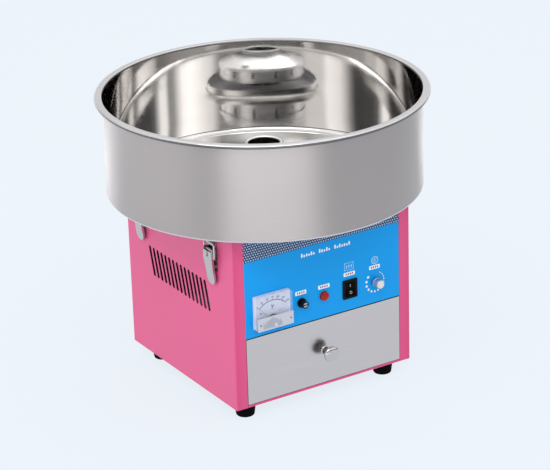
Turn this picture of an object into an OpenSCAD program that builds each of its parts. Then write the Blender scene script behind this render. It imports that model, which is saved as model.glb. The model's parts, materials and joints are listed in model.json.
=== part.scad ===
// Countertop cotton candy machine: a round stainless bowl held by four draw latches on a square
// painted cabinet, which holds the motor, the heated spinner head and a drawer.
// Millimetres, +Z up. The origin is on the floor under the bowl's axis, and the front faces -Y.

/* [Cabinet] */
// Width of the cabinet
cabinet_w = 324; // [320:1:328]
// Depth of the cabinet
cabinet_d = 322; // [318:1:326]
// Height of the cabinet without its feet
cabinet_h = 284; // [282:1:290]
// Thickness of the folded sheet
sheet = 1.2; // [1:0.1:1.4]
// Width of the folded strips at both sides of the front
strip_w = 20; // [18:1:22]
// Height of the rubber feet
foot_h = 20; // [18:1:26]
// Places of the feet along X
foot_x = [-135, 122];
// Places of the feet along Y
foot_y = [-140, 114];

/* [Bowl] */
// Outer radius of the bowl's wall
bowl_r = 248; // [240:1:256]
// Height from the bowl's underside to the middle of its rolled rim
bowl_h = 154.1; // [140:0.1:160]
// Width of the flattened rolled rim
rim_w = 12.6; // [10:0.2:14]
// Height of the flattened rolled rim
rim_t = 6.4; // [5:0.2:8]
// Outer radius of the collar around the bowl's centre hole
collar_r = 84.5; // [84:0.5:88]

/* [Front] */
// Height of the drawer front's lower edge above the cabinet's lower edge
drawer_low = 4.4; // [4:0.1:5]
// Height of the drawer front
drawer_h = 108.6; // [104:0.2:110]
// Travel of the drawer
drawer_travel = 240; // [200:5:250]
// Height of the row of controls above the cabinet's lower edge
control_z = 149.6; // [146:0.2:152]
// Places of the meter, fuse, lamp, switch and speed knob along X
control_x = [-95.6, -40.5, 0.5, 48.6, 96.3];

/* [Vents] */
// Number of slots in each side
vent_count = 15; // [10:1:15]
// Distance from slot to slot
vent_pitch = 12; // [11:0.5:12]
// Length of a slot
vent_len = 49; // [40:1:50]
// Width of a slot
vent_wide = 5.4; // [3:0.2:6]
// Lean of the slots
vent_lean = 15.2; // [10:0.1:18]

/* [Hidden] */
$fn = 64;

// Levels of the cabinet and its faces
low_z = foot_h;
top_z = foot_h + cabinet_h;
side_x = cabinet_w / 2;
front_y = -cabinet_d / 2;
rear_y = cabinet_d / 2;
inner_x = side_x - sheet;
gap = 0.4;
corner_r = 3;
// Front openings: half width between the strips, and the panel's level
open_x = side_x - strip_w;
panel_low = low_z + drawer_low + drawer_h + 1.4;
panel_y = front_y + 0.5;
row_z = low_z + control_z;
// Bowl levels
bowl_z = top_z + 2;
gasket_t = 1.7;
bowl_t = 1;
rim_z = bowl_z + bowl_h;
bowl_corner = 3;
collar_h = 14;
deck_collar_r = collar_r - 2.5;
// Shelf and motor levels
shelf_z = low_z + 116;
mount_z = shelf_z + sheet;
motor_z = mount_z + 12;
motor_r = 52;
can_wall = 3;
can_top = motor_z + 84;
cover_t = 4;
bearing_h = 8;
bearing_r = 13;
shaft_r = 5;
run_gap = 0.05;
motor_bolt = 48;
m5_r = 2.5;
// Spinner head levels, all from the bowl's underside
head_r = 65;
disc_z = bowl_z + 20;
disc_t = 5;
band_h = 20;
lid_z = disc_z + disc_t + band_h;
ring_out = 29.4;
ring_in = 24.6;
ring_z = bowl_z + 70;
heater_r = 54;
heater_wire = 2;
// Slip rings
slip_z = can_top + cover_t + 8;
hub_r = 14;
slip_r = 20;
slip_h = 9;
slip_step = 16;
// Latches: local x runs outwards from the cabinet's side, y is zero at the latch
latch_y = 109;
pivot_u = 6.4;
pivot_z = top_z - 32;
pin_r = 2;
bail_u = 7.5;
bail_z = pivot_z - 10;
wire_r = 1.5;
bail_half = 14.2;
bail_top = bail_z + 23;
lever_half = 12.2;
lever_waist = 10.2;
lever_tip = 11;
lever_len = 46;
lever_t = 1.2;
// Meter, switch and knob sizes
meter_w = 64;
meter_h = 54;
meter_z = row_z + 4.4;
meter_proud = 12;
cover_h = 21;
// Drawer
front_half = open_x - 0.8;
box_half = 136;
box_low = low_z + 8;
box_h = 90;
box_back = 110;
runner_z = box_low - 0.3;
knob_z = low_z + drawer_low + drawer_h / 2;

// ---------------------------------------------------------------- helpers

// A box from its lowest corner to its highest corner
module block(a, b) {
  translate(a) cube(b - a);
}

// A flat rectangle with round corners, centred
module rounded_rect(w, h, r) {
  square([w - 2 * r, h], center = true);
  square([w, h - 2 * r], center = true);
  for (x = [-1, 1], y = [-1, 1])
    translate([x * (w / 2 - r), y * (h / 2 - r)]) circle(r = r);
}

// A cylinder along Y, from y = a to y = b
module rod_y(x, z, a, b, r) {
  translate([x, b, z]) rotate([90, 0, 0]) cylinder(h = b - a, r = r);
}

// A cylinder along X, from x = a to x = b
module rod_x(y, z, a, b, r) {
  translate([a, y, z]) rotate([0, 90, 0]) cylinder(h = b - a, r = r);
}

// A turned shape in front of the panel: the outline's x is the radius, its y comes forward
module turned_front(x, z, y) {
  translate([x, y, z]) rotate([90, 0, 0]) rotate_extrude() children();
}

// A plate in front of or behind the panel, from y = a to y = b, with round corners
module plate_y(x, z, a, b, w, h, r) {
  translate([x, b, z]) rotate([90, 0, 0]) linear_extrude(b - a) rounded_rect(w, h, r);
}

// A ring or tube about the Z axis
module tube(r_in, r_out, a, b) {
  translate([0, 0, a]) difference() {
    cylinder(h = b - a, r = r_out);
    translate([0, 0, -1]) cylinder(h = b - a + 2, r = r_in);
  }
}

// Draws a piece of the right side, or its mirror image on the left
module on_side(side) {
  if (side < 0) mirror([1, 0, 0]) children();
  else children();
}

// Draws a latch piece on one side, at the front or the rear
module at_latch(side, end) {
  on_side(side) translate([side_x, end * latch_y, 0]) children();
}

// ---------------------------------------------------------------- cabinet

// One slanted slot of a side's vent, cut along X
module vent_slot(y) {
  translate([side_x - 4, y, low_z + 166]) rotate([-vent_lean, 0, 0])
    rotate([0, 90, 0]) linear_extrude(8)
      union() {
        square([vent_len - vent_wide, vent_wide], center = true);
        for (end = [-1, 1]) translate([end * (vent_len - vent_wide) / 2, 0]) circle(r = vent_wide / 2);
      }
}

// Holes for the latches' rivets in a side
module rivet_holes() {
  for (end = [-1, 1], y = [-6, 6])
    rod_x(end * latch_y + y, pivot_z - 27, side_x - 4, side_x + 4, 1.6);
}

// The folded sheet of one side, with its front and rear strips
module side_sheet() {
  difference() {
    translate([0, 0, low_z]) linear_extrude(cabinet_h - sheet - 0.3) intersection() {
      difference() {
        rounded_rect(cabinet_w, cabinet_d, corner_r);
        rounded_rect(cabinet_w - 2 * sheet, cabinet_d - 2 * sheet, corner_r - sheet);
      }
      translate([open_x, -cabinet_d]) square([cabinet_w, 2 * cabinet_d]);
    }
    for (i = [0 : vent_count - 1]) vent_slot((i - (vent_count - 1) / 2) * vent_pitch);
    rivet_holes();
    rear_screw_holes();
  }
}

module side_left() {
  color("hotpink") mirror([1, 0, 0]) side_sheet();
}

module side_right() {
  color("hotpink") side_sheet();
}

// Heights of the rear screws above the cabinet's lower edge
rear_screw_zs = [20, 100, 180, 260];
rear_screw_x = side_x - 10;
inlet_x = 100;
inlet_z = low_z + 150;

module rear_screw_holes() {
  for (s = [-1, 1], z = rear_screw_zs)
    rod_y(s * rear_screw_x, low_z + z, rear_y - 6, rear_y + 2, 2);
}

// The rear cover lies behind the strips, with two groups of air slots and the inlet's cut-out
module rear_panel() {
  color("hotpink") difference() {
    block([-side_x + 3, rear_y - 2 * sheet, low_z + 2], [side_x - 3, rear_y - sheet, top_z - sheet - 0.4]);
    rear_screw_holes();
    for (s = [-1, 1], i = [0 : 7])
      plate_y(s * 55, low_z + 200 + i * 8, rear_y - 6, rear_y + 1, 62, 3.6, 1.7);
    block([inlet_x - 13.5, rear_y - 6, inlet_z - 10], [inlet_x + 13.5, rear_y + 1, inlet_z + 10]);
  }
}

module rear_screws() {
  color("silver") for (s = [-1, 1], z = rear_screw_zs) {
    rod_y(s * rear_screw_x, low_z + z, rear_y - 8, rear_y, 1.95);
    difference() {
      rod_y(s * rear_screw_x, low_z + z, rear_y, rear_y + 2.2, 3.8);
      translate([s * rear_screw_x, rear_y + 2, low_z + z]) cube([5, 2, 0.9], center = true);
      translate([s * rear_screw_x, rear_y + 2, low_z + z]) cube([0.9, 2, 5], center = true);
    }
  }
}

// Holes for the feet's screws
module foot_holes() {
  for (x = foot_x, y = foot_y)
    translate([x, y, low_z - 5]) cylinder(h = 12, r = m5_r + 0.2);
}

// The bottom pan stands inside the sides, and its lip shows under the drawer
module base_pan() {
  pan_x = inner_x - 0.3;
  color("hotpink") difference() {
    union() {
      translate([0, -sheet / 2, low_z]) linear_extrude(sheet)
        rounded_rect(2 * pan_x, cabinet_d - 3 * sheet - 0.6, 2);
      block([-open_x + 0.3, front_y, low_z], [open_x - 0.3, front_y + sheet + 1, low_z + sheet]);
      block([-open_x + 0.3, front_y, low_z], [open_x - 0.3, front_y + sheet, low_z + 3.4]);
      for (s = [-1, 1])
        on_side(s) block([pan_x - sheet, -140, low_z], [pan_x, 140, low_z + 16]);
    }
    foot_holes();
  }
}

// The deck closes the top: a plate with a folded edge, a raised collar and a hole for the hub
module top_deck() {
  deck_x = inner_x - 0.3;
  color("silver") {
    difference() {
      union() {
        translate([0, 0, top_z - sheet]) linear_extrude(sheet)
          rounded_rect(cabinet_w, cabinet_d, corner_r);
        for (s = [-1, 1])
          on_side(s) block([deck_x - sheet, -130, top_z - 12], [deck_x, 130, top_z]);
      }
      translate([0, 0, top_z - 4]) cylinder(h = 8, r = 30);
    }
    tube(deck_collar_r - 1.5, deck_collar_r, top_z, top_z + 12);
    tube(30, 31.2, top_z - sheet, top_z + 7);
  }
}

// Holes through the front panel for the meter, fuse, lamp, switch and speed control
module panel_holes() {
  a = front_y - 2;
  b = front_y + 4;
  rod_y(control_x[0], meter_z + 2, a, b, 24.4);
  rod_y(control_x[1], row_z, a, b, 6.3);
  rod_y(control_x[2], row_z + 1, a, b, 6.2);
  plate_y(control_x[3], row_z + 0.3, a, b, 22.4, 27.4, 1);
  rod_y(control_x[4], row_z, a, b, 4);
}

module front_panel() {
  half = open_x - 0.3;
  top = top_z - sheet - 0.4;
  color("deepskyblue") difference() {
    union() {
      block([-half, panel_y, panel_low], [half, panel_y + sheet, top]);
      for (z = [panel_low, top - sheet])
        block([-half, panel_y, z], [half, panel_y + 12, z + sheet]);
    }
    panel_holes();
  }
}

// The shelf carries the motor and the board above the drawer
module divider_shelf() {
  shelf_x = inner_x - 0.3;
  color("lightgray") difference() {
    union() {
      block([-shelf_x, panel_y + 14, shelf_z], [shelf_x, rear_y - 2 * sheet - 0.3, mount_z]);
      for (s = [-1, 1])
        on_side(s) block([shelf_x - sheet, -140, shelf_z - 12], [shelf_x, 140, mount_z]);
    }
    for (x = [-1, 1], y = [-1, 1])
      translate([x * motor_bolt, y * motor_bolt, shelf_z - 5]) cylinder(h = 12, r = m5_r + 0.2);
  }
}

// Two folded rails: a web on the cabinet's side, a ledge under the drawer and a guide fence
module drawer_runners() {
  web = inner_x - 2;
  fence = box_half + 1.2;
  color("silver") for (s = [-1, 1]) on_side(s) {
    block([web - sheet, -150, runner_z - sheet], [web, 130, low_z + 50]);
    block([box_half - 18, -150, runner_z - sheet], [web, 130, runner_z]);
    block([fence, -150, runner_z - sheet], [fence + sheet, 130, runner_z + 16]);
    for (y = [-100, 0, 100]) rod_x(y, low_z + 38, web - 0.5, inner_x, 6);
  }
}

module rubber_feet() {
  color("black") for (x = foot_x, y = foot_y) translate([x, y, 0])
    difference() {
      union() {
        cylinder(h = 1.5, r1 = 13.5, r2 = 14.5);
        translate([0, 0, 1.5]) cylinder(h = foot_h - 1.5, r1 = 14.5, r2 = 17);
      }
      translate([0, 0, -1]) cylinder(h = 10, r = 7);
      translate([0, 0, -1]) cylinder(h = foot_h + 2, r = m5_r);
    }
}

// M5 screw from below, with its nut at the given level
module m5_screw(x, y, z, nut_z) {
  translate([x, y, 0]) {
    translate([0, 0, z]) cylinder(h = nut_z + 4.4 - z, r = m5_r);
    translate([0, 0, z - 3.5]) difference() {
      cylinder(h = 3.5, r = 4.6);
      translate([0, 0, -1]) cylinder(h = 3, r = 2.6, $fn = 6);
    }
    translate([0, 0, nut_z]) cylinder(h = 3.6, r = 4.6, $fn = 6);
  }
}

// Four screws hold the feet to the pan and four hold the motor to the shelf
module chassis_screws() {
  color("gray") {
    for (x = foot_x, y = foot_y) m5_screw(x, y, 9, low_z + sheet);
    for (x = [-1, 1], y = [-1, 1])
      m5_screw(x * motor_bolt, y * motor_bolt, shelf_z, motor_z + 4);
  }
}

// Mains inlet in the rear cover: flange, body and a socket with three blades
module power_inlet() {
  color("dimgray") difference() {
    union() {
      plate_y(inlet_x, inlet_z, rear_y - sheet, rear_y + 2, 50, 24, 3);
      block([inlet_x - 13.3, rear_y - 24, inlet_z - 9.8], [inlet_x + 13.3, rear_y, inlet_z + 9.8]);
    }
    block([inlet_x - 11, rear_y - 18, inlet_z - 7], [inlet_x + 11, rear_y + 3, inlet_z + 7]);
    for (s = [-1, 1]) rod_y(inlet_x + s * 20, inlet_z, rear_y - 6, rear_y + 3, 1.7);
  }
  color("silver") for (x = [-6.5, 0, 6.5])
    block([inlet_x + x - 1, rear_y - 18.5, inlet_z - 2 + (x == 0 ? -2 : 1)],
          [inlet_x + x + 1, rear_y - 6, inlet_z + 2 + (x == 0 ? -2 : 1)]);
}

// Board with the heater's and the motor's drive, on four spacers
module control_board() {
  board = [[-140, 64, mount_z + 8], [-70, 146, mount_z + 9.6]];
  color("seagreen") block(board[0], board[1]);
  color("lightgray") for (x = [-130, -80], y = [74, 136])
    translate([x, y, mount_z]) cylinder(h = 8.2, r = 3);
  color("gold") translate([-118, 90, mount_z + 9.4]) cylinder(h = 26, r = 10);
  color("silver") block([-98, 74, mount_z + 9.4], [-80, 124, mount_z + 34]);
  color("black") for (y = [112, 126]) translate([-124, y, mount_z + 9.4]) cylinder(h = 18, r = 5);
}

// ---------------------------------------------------------------- bowl

// Cross-section of the rolled rim, smaller on all sides by the given margin
module rim_oval(margin) {
  end_r = rim_t / 2 - margin;
  half = (rim_w - rim_t) / 2;
  square([2 * half, 2 * end_r], center = true);
  for (s = [-1, 1]) translate([s * half, 0]) circle(r = end_r);
}

// Bowl: floor with a turned-up centre collar, straight wall and a rolled rim
module bowl() {
  wall_in = bowl_r - bowl_t;
  bead_x = wall_in + rim_w / 2;
  color("silver") rotate_extrude($fn = 180) {
    // floor
    translate([collar_r - bowl_t, bowl_z]) square([bowl_r - bowl_corner - collar_r + bowl_t, bowl_t]);
    // collar
    translate([collar_r - bowl_t, bowl_z]) square([bowl_t, collar_h]);
    // bend from floor to wall
    translate([bowl_r - bowl_corner, bowl_z + bowl_corner]) intersection() {
      difference() {
        circle(r = bowl_corner);
        circle(r = bowl_corner - bowl_t);
      }
      translate([0, -bowl_corner]) square(bowl_corner);
    }
    // wall
    translate([wall_in, bowl_z + bowl_corner]) square([bowl_t, bowl_h - bowl_corner]);
    // rolled rim, open where it turns back to the wall
    translate([bead_x, rim_z]) difference() {
      rim_oval(0);
      rim_oval(bowl_t);
      translate([-rim_w / 2 - 1, -rim_t / 2 - 1]) square(rim_t / 2 + 1);
    }
  }
}

module bowl_gasket() {
  color("dimgray") tube(100, 112, top_z, top_z + gasket_t);
}

// A hooked strip under the bowl, outside the cabinet's side, that a latch wire pulls down
module catch_strip() {
  hook_z = bail_top - 5;
  outline = [
    [0.8, bowl_z], [22, bowl_z], [22, bowl_z - 1.5], [2.2, bowl_z - 1.5], [2.2, hook_z + 1.4],
    [4.2, hook_z + 1.4], [4.2, hook_z + 6], [5.6, hook_z + 6], [5.6, hook_z], [0.8, hook_z]
  ];
  translate([0, 9, 0]) rotate([90, 0, 0]) linear_extrude(18) polygon(outline);
}

module bowl_catches() {
  color("silver") for (side = [-1, 1], end = [-1, 1]) at_latch(side, end) catch_strip();
}

// ---------------------------------------------------------------- latches

// Latch base: a plate with two ears that carry the lever's pin
module latch_base() {
  difference() {
    union() {
      block([0, -11, pivot_z - 34], [1.5, 11, pivot_z + 7]);
      for (s = [-1, 1]) {
        block([0, s * 9.75 - 0.75, pivot_z - 6], [pivot_u, s * 9.75 + 0.75, pivot_z + 3.2]);
        rod_y(pivot_u, pivot_z, s * 9.75 - 0.75, s * 9.75 + 0.75, 3.2);
      }
    }
    rod_y(pivot_u, pivot_z, -20, 20, pin_r);
    for (y = [-6, 6]) rod_x(y, pivot_z - 27, -1, 3, 1.6);
  }
}

module latch_bases() {
  color("silver") for (side = [-1, 1], end = [-1, 1]) at_latch(side, end) latch_base();
}

module latch_rivets() {
  color("silver") for (side = [-1, 1], end = [-1, 1], y = [-6, 6]) at_latch(side, end) {
    rod_x(y, pivot_z - 27, -2.4, 1.5, 1.55);
    rod_x(y, pivot_z - 27, 1.5, 2.8, 3.2);
    rod_x(y, pivot_z - 27, -2.4, -sheet, 2.6);
  }
}

module latch_pins() {
  color("gray") for (side = [-1, 1], end = [-1, 1]) at_latch(side, end)
    rod_y(pivot_u, pivot_z, -12.3, 12.3, pin_r);
}

// The lever's outline seen from the side of the cabinet, grown inwards by the given margin
module lever_face(margin) {
  half = lever_half - margin;
  waist = lever_waist - margin;
  tip = lever_tip - margin;
  rotate([90, 0, 90]) linear_extrude(20) union() {
    polygon([
      [-half, pivot_z + 10], [half, pivot_z + 10], [half, pivot_z - 14],
      [waist, pivot_z - 34], [tip, pivot_z - lever_len], [-tip, pivot_z - lever_len],
      [-waist, pivot_z - 34], [-half, pivot_z - 14]
    ]);
    translate([0, pivot_z - lever_len]) circle(r = tip);
  }
}

// A slab that follows the lever's slope, from depth a to depth b under its outer face
module lever_slab(a, b) {
  top = 11.2;
  low = 4.9;
  bend_z = pivot_z - 14;
  tip_z = pivot_z - lever_len - lever_tip - 2;
  translate([0, 30, 0]) rotate([90, 0, 0]) linear_extrude(60) polygon([
    [top - b, pivot_z + 10], [top - a, pivot_z + 10], [top - a, bend_z], [low - a, tip_z],
    [low - b, tip_z], [top - b, bend_z]
  ]);
}

// Lever: a tapered channel, rounded at its tip, with ears for the pin and the wire
module latch_lever() {
  difference() {
    union() {
      difference() {
        intersection() {
          lever_slab(0, 3.4);
          lever_face(0);
        }
        intersection() {
          lever_slab(lever_t, 5);
          lever_face(lever_t);
        }
        block([0, -20, pivot_z - 1], [20, 20, pivot_z + 12]);
      }
      for (s = [-1, 1]) translate([0, s * 11.6 + 0.6, 0]) rotate([90, 0, 0])
        linear_extrude(lever_t) union() {
          polygon([
            [3.4, pivot_z], [11.2, pivot_z], [11.2, bail_z - 4], [4.4, bail_z - 4]
          ]);
          translate([pivot_u + 0.9, pivot_z]) circle(r = 3.9);
        }
    }
    rod_y(pivot_u, pivot_z, -20, 20, pin_r + 0.08);
    rod_y(bail_u, bail_z, -20, 20, wire_r + 0.08);
    block([8, -1.2, pivot_z - 7], [14, 1.2, pivot_z + 4]);
    rod_x(0, pivot_z - 8, 8, 14, 2.3);
  }
}

// A quarter bend of wire in the plane of a bail, at its upper corner
module bail_corner(bend) {
  translate([bail_u, 0, 0]) rotate([0, 0, 90]) rotate([90, 0, 0])
    rotate_extrude(angle = 90) translate([bend, 0]) circle(r = wire_r);
}

// Wire loop: two stubs in the lever's ears, two legs and a cross bar
module latch_bail() {
  bend = 4;
  for (s = [-1, 1]) {
    rod_y(bail_u, bail_z, s > 0 ? 10.9 : -bail_half, s > 0 ? bail_half : -10.9, wire_r);
    translate([bail_u, s * bail_half, bail_z]) sphere(r = wire_r);
    translate([bail_u, s * bail_half, bail_z]) cylinder(h = bail_top - bail_z - bend, r = wire_r);
  }
  rod_y(bail_u, bail_top, -bail_half + bend, bail_half - bend, wire_r);
  translate([0, bail_half - bend, bail_top - bend]) bail_corner(bend);
  mirror([0, 1, 0]) translate([0, bail_half - bend, bail_top - bend]) bail_corner(bend);
}

module latch_lever_front_left() { color("silver") at_latch(-1, -1) latch_lever(); }
module latch_lever_front_right() { color("silver") at_latch(1, -1) latch_lever(); }
module latch_lever_rear_left() { color("silver") at_latch(-1, 1) latch_lever(); }
module latch_lever_rear_right() { color("silver") at_latch(1, 1) latch_lever(); }
module latch_bail_front_left() { color("gray") at_latch(-1, -1) latch_bail(); }
module latch_bail_front_right() { color("gray") at_latch(1, -1) latch_bail(); }
module latch_bail_rear_left() { color("gray") at_latch(-1, 1) latch_bail(); }
module latch_bail_rear_right() { color("gray") at_latch(1, 1) latch_bail(); }

// ---------------------------------------------------------------- motor and slip rings

// Can with a square foot plate and a seat for the lower bearing
module motor_housing() {
  color("dimgray") difference() {
    union() {
      translate([0, 0, motor_z]) linear_extrude(4) rounded_rect(116, 116, 10);
      tube(motor_r - can_wall, motor_r, motor_z + 3, can_top);
      tube(bearing_r, bearing_r + 3, motor_z + 3, motor_z + 4 + bearing_h);
    }
    for (x = [-1, 1], y = [-1, 1])
      translate([x * motor_bolt, y * motor_bolt, motor_z - 1]) cylinder(h = 6, r = m5_r);
    for (i = [0 : 5]) rotate([0, 0, i * 60 + 30])
      translate([32, 0, motor_z - 1]) cylinder(h = 6, r = 5);
  }
}

module motor_cover() {
  color("dimgray") {
    difference() {
      translate([0, 0, can_top]) cylinder(h = cover_t, r = motor_r);
      translate([0, 0, can_top - 1]) cylinder(h = cover_t + 2, r = 7);
      for (i = [0 : 5]) rotate([0, 0, i * 60 + 30])
        translate([30, 0, can_top - 1]) cylinder(h = cover_t + 2, r = 5);
    }
    tube(bearing_r, bearing_r + 3, can_top - bearing_h, can_top + 1);
  }
}

module motor_stator() {
  low = motor_z + 20;
  high = can_top - 18;
  color("chocolate") difference() {
    tube(30.6, motor_r - can_wall, low, high);
    for (i = [0 : 11]) rotate([0, 0, i * 30])
      block([30, -3, low - 1], [42, 3, high + 1]);
  }
}

module motor_rotor() {
  color("gray") tube(shaft_r, 30, motor_z + 22, can_top - 20);
}

module motor_shaft() {
  color("silver") union() {
    translate([0, 0, motor_z + 4.5]) cylinder(h = disc_z + disc_t - motor_z - 4.5, r = shaft_r);
    translate([0, 0, disc_z + disc_t - 0.5]) cylinder(h = 9, r = 4);
  }
}

module motor_bearings() {
  color("silver") for (z = [motor_z + 4, can_top - bearing_h])
    tube(shaft_r + run_gap, bearing_r, z, z + bearing_h);
}

module motor_mounts() {
  color("black") for (x = [-1, 1], y = [-1, 1])
    translate([x * motor_bolt, y * motor_bolt, 0]) difference() {
      union() {
        translate([0, 0, mount_z]) cylinder(h = 4, r = 9);
        translate([0, 0, mount_z + 3]) cylinder(h = 6, r = 7.5);
        translate([0, 0, motor_z - 4]) cylinder(h = 4, r = 9);
      }
      translate([0, 0, mount_z - 1]) cylinder(h = 14, r = m5_r);
    }
}

module slip_ring_hub() {
  top = slip_z + slip_step + slip_h + 4;
  color("saddlebrown") {
    tube(shaft_r, hub_r, slip_z - 4, top);
    for (z = [slip_z - 4, slip_z + slip_h, top - 4])
      tube(hub_r - 1, slip_r + 2, z, z + (z == slip_z + slip_h ? slip_step - slip_h : 4));
  }
}

module slip_rings() {
  color("goldenrod") for (i = [0, 1])
    tube(hub_r, slip_r, slip_z + i * slip_step, slip_z + i * slip_step + slip_h);
}

// Holder on the motor's cover with one pocket for each carbon block
module brush_holder() {
  low = can_top + cover_t;
  color("sienna") difference() {
    block([25, -9, low], [47, 9, slip_z + slip_step + slip_h + 4]);
    for (i = [0, 1])
      block([20, -4, slip_z + i * slip_step + 1], [43, 4, slip_z + i * slip_step + slip_h - 1]);
  }
}

module brushes() {
  color("black") for (i = [0, 1])
    block([slip_r + 0.4, -3.9, slip_z + i * slip_step + 1.1],
          [36, 3.9, slip_z + i * slip_step + slip_h - 1.1]);
}

// ---------------------------------------------------------------- spinner head

module spinner_base() {
  color("silver") difference() {
    union() {
      translate([0, 0, disc_z]) cylinder(h = disc_t, r = head_r);
      translate([0, 0, disc_z - 12]) cylinder(h = 13, r = 14);
    }
    translate([0, 0, disc_z - 20]) cylinder(h = 40, r = shaft_r);
    for (i = [0 : 3]) rotate([0, 0, 45 + i * 90])
      translate([head_r - 6, 0, disc_z - 1]) cylinder(h = 8, r = 1.6);
  }
}

// Slotted band that the melted sugar leaves through
module spinner_band() {
  color("silver") difference() {
    tube(head_r - 2.5, head_r - 1, disc_z + disc_t, lid_z);
    for (i = [0 : 23]) rotate([0, 0, i * 15 + 7.5])
      block([head_r - 6, -1, disc_z + disc_t + 3], [head_r + 2, 1, lid_z - 3]);
  }
}

// Three turns of heating wire as plain rings, one above the other
module heater_turns() {
  for (i = [0 : 2]) translate([0, 0, disc_z + disc_t + 5 + i * 5])
    rotate_extrude() translate([heater_r, 0]) circle(r = heater_wire);
}

module heater_ring() {
  color("darkgray") heater_turns();
}

// Ceramic posts that hold the heating wire
module heater_posts() {
  color("ivory") difference() {
    for (i = [0 : 5]) rotate([0, 0, i * 60])
      translate([heater_r, 0, disc_z + disc_t]) cylinder(h = band_h - 1, r = 3.4);
    heater_turns();
  }
}

// Shallow cone with a filler ring, and a skirt around the band's upper edge
module spinner_lid() {
  cone_z = ring_z - 10.5;
  color("silver") difference() {
    rotate_extrude($fn = 120) {
      polygon([
        [head_r - 1, lid_z - 4], [head_r + 0.5, lid_z - 4], [head_r + 0.5, lid_z + 1.5],
        [ring_out, cone_z + 1.5], [ring_out, ring_z - 2.4], [ring_in, ring_z - 2.4],
        [ring_in, cone_z - 0.5], [head_r - 1, lid_z]
      ]);
      translate([(ring_in + ring_out) / 2, ring_z - 2.4]) circle(r = (ring_out - ring_in) / 2);
    }
    for (i = [0 : 3]) rotate([0, 0, 45 + i * 90])
      union() {
        translate([head_r - 6, 0, lid_z - 6]) cylinder(h = 20, r = 1.6);
        translate([head_r - 6, 0, lid_z + 3.5]) cylinder(h = 10, r = 3.3);
      }
  }
}

// Four long screws through the head, and the nut on the shaft
module spinner_screws() {
  color("gray") {
    for (i = [0 : 3]) rotate([0, 0, 45 + i * 90]) translate([head_r - 6, 0, 0]) {
      translate([0, 0, disc_z]) cylinder(h = lid_z + 3.6 - disc_z, r = 1.55);
      translate([0, 0, lid_z + 3.5]) cylinder(h = 2, r = 3.2);
    }
    translate([0, 0, disc_z + disc_t]) difference() {
      cylinder(h = 6, r = 8, $fn = 6);
      translate([0, 0, -1]) cylinder(h = 8, r = 4);
    }
  }
}

// ---------------------------------------------------------------- controls

meter_front = panel_y - meter_proud;
// The needle's pivot lies behind the lower cover
needle_z = meter_z - 17;
needle_len = 34.5;
dial_y = panel_y - 5;

// Case: a flange in front of the panel and a round barrel behind it
module meter_case() {
  x = control_x[0];
  color("whitesmoke") {
    plate_y(x, meter_z, panel_y - 4, panel_y, meter_w, meter_h, 2);
    rod_y(x, meter_z + 2, panel_y - 1, panel_y + 34, 24);
    for (s = [-1, 1]) rod_y(x + s * 12, meter_z + 2, panel_y + 33, panel_y + 44, 2);
  }
}

module meter_dial() {
  x = control_x[0];
  color("white") difference() {
    plate_y(x, meter_z, dial_y, panel_y - 4, meter_w - 5, meter_h - 5, 1);
    rod_y(x, needle_z, dial_y - 1, panel_y - 3, 1.2);
  }
}

// Needle at its zero, 45 degrees left of upright, on a small hub
module meter_needle() {
  x = control_x[0];
  color("black") translate([x, dial_y - 0.7, needle_z]) rotate([0, -45, 0]) {
    translate([-0.25, -0.6, 0]) cube([0.5, 0.6, needle_len]);
    rod_y(0, 0, -1.2, 1, 0.9);
    rod_y(0, 0, -1.6, -0.4, 2.4);
  }
}

// Clear cover: a thin box, open at the back
module meter_window() {
  x = control_x[0];
  color([0.9, 0.95, 1, 0.4]) difference() {
    plate_y(x, meter_z, meter_front, panel_y - 4, meter_w, meter_h, 2);
    plate_y(x, meter_z, meter_front + 1.5, panel_y - 3, meter_w - 3, meter_h - 3, 1);
  }
}

// Lower cover of the meter, with its zero screw and two fixing screws
module meter_cover() {
  x = control_x[0];
  z = meter_z - meter_h / 2 + cover_h / 2;
  color("gainsboro") {
    plate_y(x, z, meter_front - 1.5, meter_front, meter_w, cover_h, 1.5);
    rod_y(x, z - 4.5, meter_front - 2.3, meter_front - 1, 3.2);
    for (s = [-1, 1]) rod_y(x + s * 27, z, meter_front - 2, meter_front - 1, 1.6);
  }
}

module fuse_holder() {
  x = control_x[1];
  color("black") {
    difference() {
      union() {
        rod_y(x, row_z, panel_y - 3, panel_y, 7.6);
        rod_y(x, row_z, panel_y - 1, panel_y + 34, 6.1);
      }
      rod_y(x, row_z, panel_y - 4, panel_y + 30, 4.3);
    }
    difference() {
      rod_y(x, row_z, panel_y + sheet, panel_y + 5, 9);
      rod_y(x, row_z, panel_y, panel_y + 6, 6);
    }
  }
}

// Bayonet cap with a screwdriver slot, its stem and the cartridge that it holds
module fuse_cap() {
  x = control_x[1];
  color("black") difference() {
    union() {
      rod_y(x, row_z, panel_y - 12, panel_y - 3.3, 5.8);
      rod_y(x, row_z, panel_y - 4, panel_y + 6, 4.2);
    }
    block([x - 5, panel_y - 13, row_z - 0.7], [x + 5, panel_y - 10.4, row_z + 0.7]);
  }
  color("silver") rod_y(x, row_z, panel_y + 5.5, panel_y + 25, 2.6);
}

module lamp_body() {
  color("darkred") {
    rod_y(control_x[2], row_z + 1, panel_y - 1, panel_y + 24, 6);
    rod_y(control_x[2], row_z + 1, panel_y - 1.6, panel_y, 7.6);
    difference() {
      rod_y(control_x[2], row_z + 1, panel_y + sheet, panel_y + 4, 8.5);
      rod_y(control_x[2], row_z + 1, panel_y, panel_y + 5, 5.9);
    }
  }
}

// Domed lens of the lamp
module lamp_lens() {
  color("red") turned_front(control_x[2], row_z + 1, panel_y - 1.6) intersection() {
    translate([0, -6]) circle(r = 11.2);
    square([7.2, 8]);
  }
}

switch_z = row_z + 0.3;
switch_pivot_y = panel_y + 3;
switch_pin_r = 1.5;

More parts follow.
